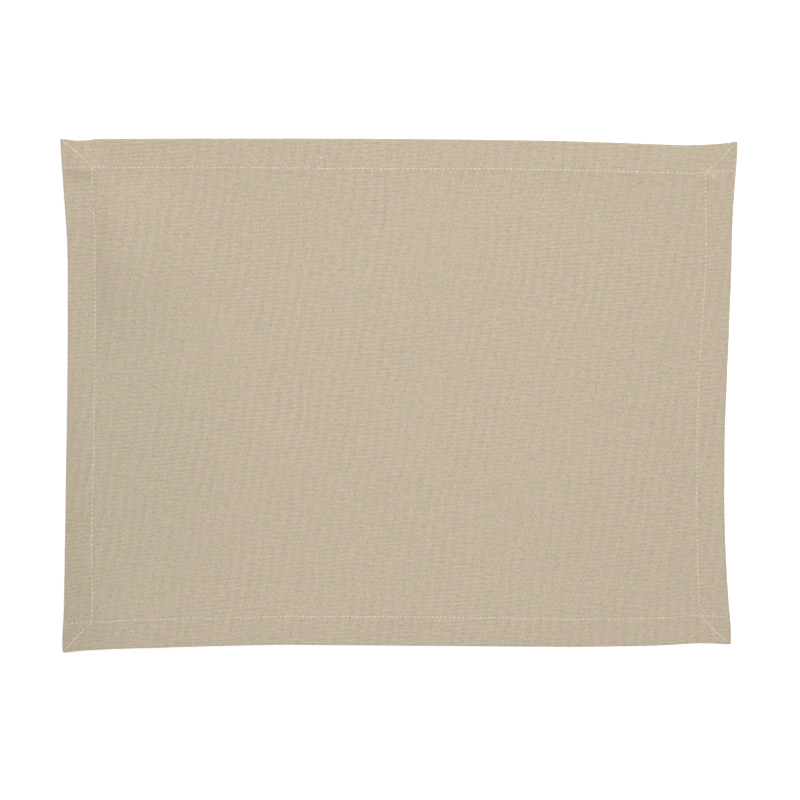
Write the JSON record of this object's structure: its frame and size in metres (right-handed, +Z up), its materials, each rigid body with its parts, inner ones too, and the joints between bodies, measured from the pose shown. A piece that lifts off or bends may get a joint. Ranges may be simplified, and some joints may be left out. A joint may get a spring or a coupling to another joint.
{
  "type": "fabric placemat",
  "caption": "Flat rectangular cloth placemat with a turned, topstitched hem and mitred corners, which lies on a table under a place setting.",
  "frame": {"origin": "on the surface the mat lies on, under the middle of its outline", "axes": "+X along the long side, +Y along the short side towards the far edge, +Z up out of the cloth's face"},
  "size_m": [0.4638, 0.352, 0.0067],
  "materials": {
    "cloth": "matt plain-woven oatmeal cloth with cream topstitching"
  },
  "bodies": {
    "root": {"placemat_cloth": "cloth"}
  },
  "joints": []
}
